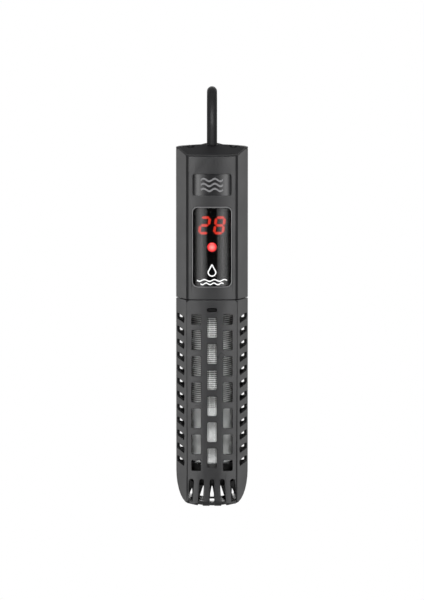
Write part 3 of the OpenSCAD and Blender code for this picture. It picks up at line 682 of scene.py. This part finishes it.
@dataclass
class MainsLead:
    """The mains lead: out of the cap, over the tank's rim, and folded into a tied hank.

    Sizes are in millimetres, apart from the lead's length in metres.
    """

    diameter: float = 6.0
    folds: int = 4
    run_x: float = 18.0
    pinch_x: float = 17.2
    pinch_reach: float = 9.0
    knots: tuple = (185.0, 176.0, 168.0, 162.5, 157.0, 148.0, 135.0)
    first_knot: int = 2
    tie_mid: float = 162.5
    first_y: float = 50.0
    fold_step: float = 3.0
    tail_y: float = 83.2
    leave: float = 150.0
    meet: float = 197.5
    join_x: float = -17.3
    join_z: float = 191.0
    bend: float = 25.0
    bend_turn: float = math.radians(50)
    length: float = 1.225
    strap_round: float = 3.4
    strap_thick: float = 0.8
    strap_inset: float = 0.4
    strap_edge: float = 0.2
    flap_thick: float = 0.9
    flap_inset: float = 0.6
    flap_ends: tuple = (26.2, 3.8)
    grip_rows: int = 4
    grip_low: float = 6.0
    grip_pitch: float = 3.5
    grip_width: float = 18.0
    grip_height: float = 1.6
    grip_proud: float = 0.3
    grip_round: float = 0.25
    lead: tuple = ((0, 0, 212), (0, 0, 216), (0, 1.9, 225.6), (0, 7.3, 233.7), (0, 15.4, 239.1),
                   (0, 25, 241), (0, 34.6, 239.1), (0, 42.7, 233.7), (0, 48.1, 225.6), (0, 50, 216),
                   (0, 50, 211), (0, 50, 206.2))
    tail: tuple = ((-13, 83.2, 197.5), (-7, 83.2, 201.6), (0, 83.2, 203), (7, 83.2, 201.6),
                   (13, 83.2, 197.5), (16.8, 83.2, 191.5), (18, 83.2, 184), (16.8, 83.2, 176),
                   (13, 83.6, 168.5), (8, 84.5, 162), (4.4, 86.2, 156.5), (3, 87, 152.2))

    def crossing(self, steps: int = 5) -> list[Vector]:
        """Gives the S-bend from the end of the lead to the first run of the hank."""
        bend, turn, top = self.bend, self.bend_turn, self.lead[-1][2]
        points = []
        for side in (0, 1):
            for k in range(1, steps + 1):
                a = turn * k / steps
                x = bend * (1 - math.cos(a))
                z = bend * math.sin(a)
                if side:
                    x = self.run_x - bend * (1 - math.cos(turn - a))
                    z = 2 * bend * math.sin(turn) - bend * math.sin(turn - a)
                points.append(place(x, self.first_y, top - z))
        return points

    def run(self, side: int, depth: float, heights: Sequence[float]) -> list[Vector]:
        """Gives one straight run of the hank, drawn in where the tie holds it.

        Args:
            side: 1 on the right, -1 on the left.
            depth: the run's place towards the glass.
            heights: the heights of its points, in order.

        Returns:
            The run's points.
        """
        drawn, points = self.run_x - self.pinch_x, []
        for h in heights:
            hold = math.exp(-((h - self.tie_mid) / self.pinch_reach) ** 2)
            points.append(place(side * (self.run_x - drawn * hold), depth, h))
        return points

    def fold(self, top: bool, depth: float, steps: int = 10) -> list[Vector]:
        """Gives one half turn of the hank, which moves it back by one fold step.

        Args:
            top: whether the fold is the upper one, which goes from left to right.
            depth: the depth that it starts at.
            steps: how many pieces the half turn has.

        Returns:
            The fold's points, without its two ends.
        """
        points = []
        for k in range(1, steps):
            a = math.pi * k / steps
            x = math.cos(a) * self.run_x * (-1 if top else 1)
            rise = math.sin(a) * self.run_x
            h = self.knots[0] + rise if top else self.knots[-1] - rise
            points.append(place(x, depth + self.fold_step * k / steps, h))
        return points

    def route(self) -> list[Vector]:
        """Gives the lead's whole route, from the cap to the plug."""
        down, up = self.knots, self.knots[::-1]
        points = [place(*p) for p in self.lead] + self.crossing()[:-1]
        depth = self.first_y
        for turn in range(self.folds + 1):
            points += self.run(1, depth, down if turn else down[self.first_knot:])
            points += self.fold(False, depth)
            depth += self.fold_step
            points += self.run(-1, depth, up)
            if turn < self.folds:
                points += self.fold(True, depth)
                depth += self.fold_step
        left = self.tail_y - depth
        for point, height in zip(points[-len(up):], up):
            point.y += self.drift(height) * left * MM
        points.append(place(self.join_x, depth + self.drift(self.join_z) * left, self.join_z))
        return points + [place(*p) for p in self.tail]

    def drift(self, height: float) -> float:
        """Gives how far the last run has moved over to the tail at a height, from 0 to 1."""
        share = min(1.0, max(0.0, (height - self.leave) / (self.meet - self.leave)))
        return share * share * (3 - 2 * share)

    def cable(self) -> Piece:
        """Draws the lead as one round curve."""
        points = self.route()
        data = bpy.data.curves.new("mains_lead", "CURVE")
        data.dimensions = "3D"
        data.bevel_depth = self.diameter / 2 * MM
        data.bevel_resolution = 8
        data.resolution_u = 4
        data.use_fill_caps = True
        spline = data.splines.new("BEZIER")
        spline.bezier_points.add(len(points) - 1)
        for knot, point in zip(spline.bezier_points, points):
            knot.co = point
            knot.handle_left_type = knot.handle_right_type = "AUTO"
        lead = bpy.data.objects.new("mains_lead", data)
        bpy.context.scene.collection.objects.link(lead)
        return lead

    def tie(self) -> Piece:
        """Makes the strap round the hank: a band with round corners and an overlapping end."""
        def is_corner(edge: bmesh.types.BMEdge) -> bool:
            """Tells the block's upright corner edges."""
            a, b = (v.co for v in edge.verts)
            return abs(a.z - b.z) > 2 * MM

        def is_end(face: bmesh.types.BMFace) -> bool:
            """Tells the block's top and bottom."""
            return abs(face.normal.z) > 0.9

        low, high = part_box("hank_tie")
        inset = Vector((1, 1, 0)) * self.strap_inset * MM
        band = block("hank_strap", low + inset, high - inset)
        with editing(band):
            pick(band, "EDGE", is_corner)
            bpy.ops.transform.edge_bevelweight(value=1)
        modify(band, "BEVEL", width=self.strap_round * MM, segments=6, limit_method="WEIGHT")
        with editing(band):
            pick(band, "FACE", is_end)
            bpy.ops.mesh.delete(type="FACE")
        modify(band, "SOLIDIFY", thickness=self.strap_thick * MM, offset=-1)
        modify(band, "BEVEL", width=self.strap_edge * MM, segments=2, limit_method="ANGLE",
               angle_limit=SHARP)
        far, near = (high.y - end * MM for end in self.flap_ends)
        margin = self.flap_inset * MM
        flap = block("strap_end", Vector((low.x, far, low.z + margin)),
                     Vector((low.x + self.flap_thick * MM, near, high.z - margin)))
        modify(flap, "BEVEL", width=2 * self.strap_edge * MM, segments=2)
        return joined("hank_strap", [smooth(band), smooth(flap)])

    def plug(self) -> Piece:
        """Makes the plug: a rounded body with finger grips, and a ribbed sleeve for the lead."""
        low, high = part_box("plug_body")
        left = (low.x + high.x) / 2 - self.grip_width / 2 * MM
        proud = self.grip_proud * MM
        parts = [softened("plug_body", "plug_moulding", 0.9)]
        for row in range(self.grip_rows):
            foot = low.z + (self.grip_low + row * self.grip_pitch) * MM
            for face in (low.y, high.y):
                rib = block("grip", Vector((left, face - proud, foot)),
                            Vector((left + self.grip_width * MM, face + proud,
                                    foot + self.grip_height * MM)))
                modify(rib, "BEVEL", width=self.grip_round * MM, segments=2)
                parts.append(smooth(rib))
        return joined("plug_moulding", parts)

    def pins(self) -> Piece:
        """Makes the two pins, with rounded tips and dark sleeves at their roots."""
        low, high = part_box("plug_pins")
        r = (high.y - low.y) / 2 / MM
        reach = (high.z - low.z) / MM
        outline = [(0, 0), (r * 0.45, 0.1), (r * 0.8, 0.6), (r, 1.6), (r, reach - 0.2), (r * 0.9, reach),
                   (0, reach)]
        middle = (low.y + high.y) / 2
        parts = [turned("pin", outline, Vector((x, middle, low.z)), steps=32)
                 for x in (low.x + r * MM, high.x - r * MM)]
        return joined("contact_pins", parts)

    def build(self) -> None:
        """Builds the lead and all that is on it."""
        lead = self.cable()
        strap, body, pins = self.tie(), self.plug(), self.pins()
        hand_over(lead, "sheath", "cord_sheath", "cord_lead", "cord_hank", "cord_tail")
        hand_over(strap, "strap", "tie_fabric", "hank_tie")
        hand_over(body, "plug", "plug_plastic", "plug_body")
        hand_over(pins, "nickel", "nickel_pins", "plug_pins")


@dataclass
class ControlHead:
    """The opaque upper shell, its roof-shaped cap, the badge and the display window.

    Sizes are in millimetres.
    """

    screw_places: tuple = ((-12.5, -3.4), (12.5, -3.4))
    recess: tuple = (2.4, 0.6, 0.5)
    recess_turns: tuple = (30, 120)
    badge_round: float = 66.0
    badge_roll: float = 0.3
    badge_half: float = 11.0
    badge_thick: float = 0.2
    wave_gap: float = 2.9
    window_mid: float = 153.0
    window_round: float = 40.0
    window_front: float = 16.1
    drop_r: float = 2.6
    drop_peak: float = 2.2
    drop_line: float = 0.7
    drop_low: float = 14.6
    ripple_low: float = 19.4
    sheet_margin: float = 1.0
    sheet_thick: float = 0.4
    button_gap: float = 0.3
    digit_gap: float = 0.2

    def shell(self) -> None:
        """Rounds the head's shell."""
        shell = softened("housing", "head_shell", EDGE_REACH, CREASE_REACH, is_crease)
        hand_over(shell, "shell", "charcoal_plastic", "housing")
        cap = softened("top_cap", "roof_cap", 0.2)
        hand_over(cap, "cap", "black_plastic", "top_cap")

    def screws(self) -> None:
        """Turns the two cap screws, with a domed head and a cross recess."""
        low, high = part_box("cap_screws")
        foot, head = low.z, (high.z - low.z) / MM
        outline = [(0, 0), (1.0, 0.5), (1.2, 1.0), (1.2, head - 1.8), (1.75, head - 1.8),
                   (1.9, head - 1.6), (1.9, head - 0.7), (1.6, head - 0.25), (0.9, head), (0, head)]
        parts = []
        for x, y in self.screw_places:
            start = place(x, y, 0)
            parts.append(turned("screw", outline, Vector((start.x, start.y, foot)), steps=32))
            for angle in self.recess_turns:
                long, wide, deep = (size * MM for size in self.recess)
                corner = Vector((long / 2, wide / 2, 0))
                slot = block("slot", -corner, corner + Vector((0, 0, wide)))
                slot.rotation_euler = (0, 0, math.radians(angle))
                slot.location = (start.x, start.y, high.z - deep)
                settle(slot)
                modify(parts[-1], "BOOLEAN", operation="DIFFERENCE", object=slot, solver="EXACT")
                bpy.data.objects.remove(slot)
        for part in parts:
            smooth(part)
        hand_over(joined("roof_screws", parts), "screw", "screw_steel", "cap_screws")

    def wave(self, name: str, middle: Vector, length: float, swing: float, width: float,
             count: float = 1.5, steps: int = 24) -> Piece:
        """Lays a wavy line in the front plane.

        Args:
            name: the piece's name.
            middle: the middle of the line.
            length: its length in millimetres.
            swing: how far it swings each way, in millimetres.
            width: its width in millimetres.
            count: how many waves it has.
            steps: how many pieces its length has.

        Returns:
            A flat strip, ready for its thickness.
        """
        deselect()
        bpy.ops.mesh.primitive_grid_add(x_subdivisions=steps, y_subdivisions=1, size=1)
        strip = take(name)
        for v in strip.data.vertices:
            along = v.co.x
            rise = math.sin(along * math.tau * count) * swing
            x, z = along * length, rise + v.co.y * width
            v.co = middle + Vector((x * MM, 0, z * MM))
        return strip

    def raise_mark(self, marks: Piece, depth: Callable, proud: float) -> Piece:
        """Seats flat marks on a surface and gives them their thickness.

        Args:
            marks: the flat marks, in the front plane.
            depth: gives the surface's place towards the glass for a sideways place, in metres.
            proud: how thick the marks are, in millimetres.

        Returns:
            The marks, closed and seated.
        """
        for v in marks.data.vertices:
            v.co.y = depth(v.co.x)
        with editing(marks, "SELECT"):
            bpy.ops.mesh.normals_make_consistent(inside=False)
        if marks.data.polygons[0].normal.y > 0:
            marks.data.flip_normals()
        modify(marks, "SOLIDIFY", thickness=proud * MM, offset=1)
        return smooth(marks)

    def badge_fall(self, x: float) -> float:
        """Gives how far the badge has fallen back at a sideways place, in metres.

        The plate bulges evenly and rolls over near its two sides.
        """
        reach = abs(x) / MM
        bulge = reach ** 2 / (2 * self.badge_round)
        return (bulge + self.badge_roll * (reach / self.badge_half) ** 6) * MM

    def badge(self) -> None:
        """Makes the badge: a satin plate that carries three rising waves of warmth."""
        low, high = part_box("badge_plate")
        middle, size = (low + high) / 2, high - low
        deselect()
        bpy.ops.mesh.primitive_grid_add(x_subdivisions=56, y_subdivisions=2, size=1,
                                        rotation=(math.pi / 2, 0, 0))
        plate = take("badge_face")
        for v in plate.data.vertices:
            x = middle.x + v.co.x * size.x
            v.co = (x, low.y + self.badge_fall(x), middle.z + v.co.z * size.z)
        modify(plate, "SOLIDIFY", thickness=self.badge_thick * MM, offset=-1)
        hand_over(smooth(plate), "badge", "badge_grey", "badge_plate")

        def depth(x: float) -> float:
            """Follows the plate's bulge."""
            return low.y - 0.00003 + self.badge_fall(x)

        waves = [self.wave("warmth", middle + Vector((0, 0, row * self.wave_gap * MM)), length=13.0,
                           swing=0.75, width=1.15, count=2.0) for row in (-1, 0, 1)]
        marks = self.raise_mark(joined("badge_waves", waves), depth, 0.08)
        hand_over(marks, "badge_mark", "badge_grey")

    def drop(self) -> Piece:
        """Draws a water drop, flat in the front plane."""
        deselect()
        bpy.ops.mesh.primitive_circle_add(vertices=40, radius=self.drop_r * MM, fill_type="NGON",
                                          rotation=(math.pi / 2, 0, 0))
        shape = take("drop")
        middle = place(0, 0, self.window_mid - self.drop_low)
        for v in shape.data.vertices:
            rise = max(0.0, v.co.z) / (self.drop_r * MM)
            v.co.x *= 1 - rise ** 2 * 0.35 - 0.12 * rise
            v.co.z += rise ** 3 * self.drop_peak * MM
            v.co += middle
        return shape

    def window_marks(self) -> None:
        """Prints a plain water drop and two ripples at the window's foot, in white print with a faint painted
        glow.
        """
        radius = self.window_round * MM
        front = place(0, -self.window_front, 0).y - 0.00002

        def depth(x: float) -> float:
            """Follows the window's round face."""
            return front + radius - math.sqrt(radius * radius - x * x)

        with_ring = self.drop()
        with editing(with_ring, "SELECT"):
            bpy.ops.mesh.inset(thickness=self.drop_line * MM)
            bpy.ops.mesh.delete(type="FACE")
        low = self.window_mid - self.ripple_low
        ripples = [self.wave("ripple", place(0, 0, low - 2.0 * row), length=17.5 - 4 * row, swing=0.5,
                             width=0.75, count=3.0, steps=36) for row in (0, 1)]
        marks = self.raise_mark(joined("water_mark", [with_ring, *ripples]), depth, 0.06)
        # The print finish glows faintly: painted light on the marks.
        hand_over(marks, "print", "frame_grey")

    def baffle(self) -> None:
        """Makes the black sheet that hides the board, open round the digits and the button."""
        low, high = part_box("display_lens")
        digits_low, digits_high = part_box("display_module")
        button_low, button_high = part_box("set_button")
        face, margin = digits_low.y + 0.1 * MM, self.sheet_margin * MM
        sheet = block("light_baffle", Vector((low.x + margin, face, low.z + margin)),
                      Vector((high.x - margin, face + self.sheet_thick * MM, high.z - margin)))
        middle = (button_low + button_high) / 2
        deselect()
        radius = (button_high.x - button_low.x) / 2 + self.button_gap * MM
        bpy.ops.mesh.primitive_cylinder_add(vertices=48, radius=radius, depth=20 * MM,
                                            location=(middle.x, face, middle.z),
                                            rotation=(math.pi / 2, 0, 0))
        hole = take("button_hole")
        gap = Vector((self.digit_gap, 2.0, self.digit_gap)) * MM
        opening = block("digit_opening", digits_low - gap, digits_high + gap)
        for cutter in (hole, opening):
            modify(sheet, "BOOLEAN", operation="DIFFERENCE", object=cutter, solver="EXACT")
            bpy.data.objects.remove(cutter)
        modify(sheet, "BEVEL", width=0.0001, segments=1, limit_method="ANGLE")
        hand_over(smooth(sheet), "inner", "black_plastic")

    def window(self) -> None:
        """Makes the smoked window, its thin frame, and what is lit behind it."""
        hand_over(softened("display_lens", "smoked_window", 0.35), "window", "smoked_window",
                  "display_lens")
        hand_over(softened("lens_frame", "window_frame", 0.06), "frame", "frame_grey",
                  "lens_frame")
        dress("digit_segments", "digits")
        dress("display_module", "inner")
        self.baffle()
        self.window_marks()

    def button(self) -> None:
        """Turns the set button, with a softly domed face."""
        low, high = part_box("set_button")
        middle = (low + high) / 2
        r, reach = (high.x - low.x) / 2 / MM, (high.y - low.y) / MM
        outline = [(0, 0), (r - 0.2, 0), (r, 0.2), (r, reach - 0.75), (r - 0.12, reach - 0.42),
                   (r - 0.45, reach - 0.18), (r - 1.1, reach - 0.05), (0, reach)]
        knob = turned("set_button_cap", outline, Vector((middle.x, high.y, middle.z)), Along.FRONT)
        hand_over(knob, "button", "red_button", "set_button", body=Body.BUTTON)

    def build(self) -> None:
        """Builds the head from the shell inwards."""
        self.shell()
        self.screws()
        self.badge()
        self.window()
        self.button()
        dress("strain_relief", "rubber")
        dress("button_seal", "rubber")


@dataclass
class Electronics:
    """What works inside the head, on the circuit board."""

    finishes: tuple = (("circuit_board", "board"), ("relay", "relay"), ("capacitor", "sleeve"),
                       ("transformer", "tape"), ("terminal_block", "terminal"), ("tact_switch", "probe"),
                       ("button_led", "digits"))

    def build(self) -> None:
        """Gives each component its finish."""
        for node, finish in self.finishes:
            dress(node, finish)


@dataclass
class HeatingTube:
    """The quartz tube with its wound core, its boot, collar and holder. Sizes are in millimetres."""

    glass_wall: float = 1.2
    wire: float = 0.56
    pitch: float = 1.2
    sunk: float = 0.1
    bond: float = 0.05
    boot_ribs: int = 3

    def bore(self) -> float:
        """Gives the quartz tube's inner radius in millimetres."""
        low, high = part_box("quartz_tube")
        return (high.x - low.x) / 2 / MM - self.glass_wall

    def core(self) -> None:
        """Turns the pressed ceramic core, which fills the tube from wall to wall."""
        low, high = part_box("core_former")
        r, reach = self.bore() + self.bond, (high.z - low.z) / MM
        outline = [(0, 0), (r - 0.8, 0), (r, 0.8), (r, reach - 0.8), (r - 0.8, reach), (4.2, reach),
                   (3.6, reach - 1.4), (0, reach - 1.6)]
        core = turned("pressed_core", outline, Vector((0, MIDDLE_Y, low.z)), steps=96)
        hand_over(core, "ceramic", "white_ceramic", "core_former")

    def winding(self) -> None:
        """Winds the resistance wire round the core as one open helix."""
        low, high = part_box("heating_wire")
        middle = (low + high) / 2
        radius = (self.bore() + self.bond - self.sunk) * MM
        turns = int((high.z - low.z) / MM / self.pitch) - 1
        deselect()
        bpy.ops.mesh.primitive_circle_add(vertices=8, radius=self.wire / 2 * MM, fill_type="NGON",
                                          rotation=(math.pi / 2, 0, 0), location=(radius, 0, 0))
        wire = take("winding_wire")
        modify(wire, "SCREW", axis="Z", angle=math.tau, steps=36, render_steps=36, iterations=turns,
               screw_offset=self.pitch * MM, use_merge_vertices=True, merge_threshold=WELD)
        with editing(wire, "SELECT"):
            bpy.ops.mesh.normals_make_consistent(inside=False)
        wire.location = (middle.x, middle.y, low.z + self.wire * MM)
        hand_over(smooth(settle(wire)), "wire", "heating_alloy", "heating_wire")

    def boot(self) -> None:
        """Turns the rubber boot on the tube's foot, with soft ribs."""
        low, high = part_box("tube_boot")
        tube_low, tube_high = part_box("quartz_tube")
        r = (high.x - low.x) / 2 / MM
        bore = (tube_high.x - tube_low.x) / 2 / MM + 0.05
        reach = (high.z - low.z) / MM
        outline = [(0, 0), (r - 3.6, 0), (r - 2.2, 0.5), (r - 0.6, 2.1), (r - 0.15, 3.0)]
        for k in range(self.boot_ribs):
            foot = 4.2 + k * 2.6
            outline += [(r - 0.2, foot), (r, foot + 0.5), (r, foot + 1.2), (r - 0.2, foot + 1.7)]
        outline += [(r - 0.2, reach - 0.5), (r - 0.4, reach - 0.1), (bore + 0.15, reach),
                    (bore, reach - 0.2), (bore, 4.5), (bore - 2, 2.45), (0, 2.4)]
        boot = turned("rubber_boot", outline, Vector((0, MIDDLE_Y, low.z)))
        hand_over(boot, "rubber", "black_rubber", "tube_boot")

    def build(self) -> None:
        """Builds the tube from its core outwards."""
        self.core()
        self.winding()
        self.boot()
        # The tube plug takes the near-black holder finish: painted shade for where it shows in the seam and the
        # latch slot.
        hand_over(softened("tube_holder", "tube_plug", 0.2), "holder", "black_plastic",
                  "tube_holder")
        for node, finish in (
                ("core_discs", "ceramic"), ("quartz_tube", "quartz"), ("lead_wires", "red_wire"),
                ("thermal_fuse", "fuse"), ("tube_collar", "silicone"), ("housing_seal", "seal"),
                ("temperature_probe", "probe")):
            dress(node, finish)


class SlottedGuard:
    """The lower shell with its windows and slots."""

    def build(self) -> None:
        """Rounds every slot and window edge of the guard."""
        guard = softened("guard", "slotted_guard", EDGE_REACH, CREASE_REACH, is_crease)
        hand_over(guard, "shell", "charcoal_plastic", "guard", body=Body.GUARD)


class GlassCups:
    """The two suction cups and the clips that they hang in."""

    def cup(self, node: str, body: Body) -> None:
        """Turns one suction cup: a stem with a head, and a thin bell with a lipped rim.

        Args:
            node: the CAD node that it stands for.
            body: the body that it turns with.
        """
        low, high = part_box(node)
        rim = (high.x - low.x) / 2 / MM
        back = (high.y - low.y) / MM
        centre = Vector(((low.x + high.x) / 2, high.y, (low.z + high.z) / 2))
        outline = [(0, back), (3.2, back), (3.7, back - 0.3), (4.4, back - 1.6), (4.2, back - 1.8),
                   (2.5, back - 1.8), (2.5, 8.9), (4.4, 8.7), (5.0, 8.3), (5.6, 7.2), (7.0, 5.9),
                   (9.0, 4.4), (rim - 3.6, 2.8), (rim - 1.6, 1.6), (rim - 0.5, 1.0), (rim, 0.7),
                   (rim, 0.25), (rim - 0.3, 0), (rim - 1.2, 0.05), (rim - 2.2, 0.6), (rim - 4.2, 1.5), (8.0, 3.4),
                   (5.5, 4.7), (2.5, 5.4), (0, 5.6)]
        cup = turned(f"{node}_bell", outline, centre, Along.FRONT, 72)
        hand_over(cup, "cup", "smoky_silicone", node, body=body)

    def build(self) -> None:
        """Builds both cups and both clips."""
        self.cup("upper_cup", Body.UPPER_CUP)
        self.cup("lower_cup", Body.LOWER_CUP)
        for node, name, body in (("upper_clip", "upper_holder", Body.HEATER),
                                 ("lower_clip", "lower_holder", Body.GUARD)):
            hand_over(softened(node, name, 0.3), "inner", "black_plastic", node, body=body)


def main() -> None:
    """Builds the whole heater."""
    logging.basicConfig(level=logging.INFO, format="%(name)s: %(message)s")
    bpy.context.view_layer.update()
    for assembly in (Studio(), MainsLead(), ControlHead(), Electronics(), HeatingTube(), SlottedGuard(),
                     GlassCups()):
        assembly.build()


if __name__ == "__main__":
    main()
